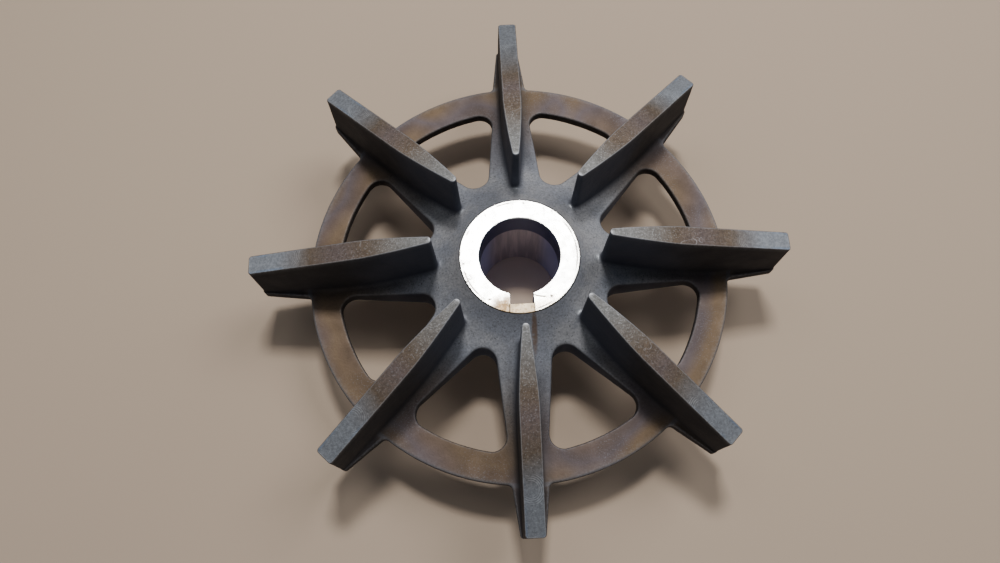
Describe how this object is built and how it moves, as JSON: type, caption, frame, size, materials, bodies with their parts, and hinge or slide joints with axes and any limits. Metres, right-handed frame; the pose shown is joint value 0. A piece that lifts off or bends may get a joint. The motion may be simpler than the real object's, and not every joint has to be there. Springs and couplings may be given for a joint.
{
  "type": "pump impeller",
  "caption": "Cast semi-open pump impeller: straight radial vanes on a dished, pierced web around a keyed hub bore.",
  "frame": {"origin": "centre of the hub's lower face, on the shaft axis", "axes": "+Z along the shaft axis towards the vane tips, -Y through the keyway and the vane in line with it"},
  "size_m": [0.1858, 0.1858, 0.0586],
  "materials": {
    "cast_stainless": "heat-tinted cast stainless steel, machined on the hub face, vane tops and rim"
  },
  "bodies": {
    "root": {"impeller_casting": "cast_stainless"}
  },
  "joints": []
}
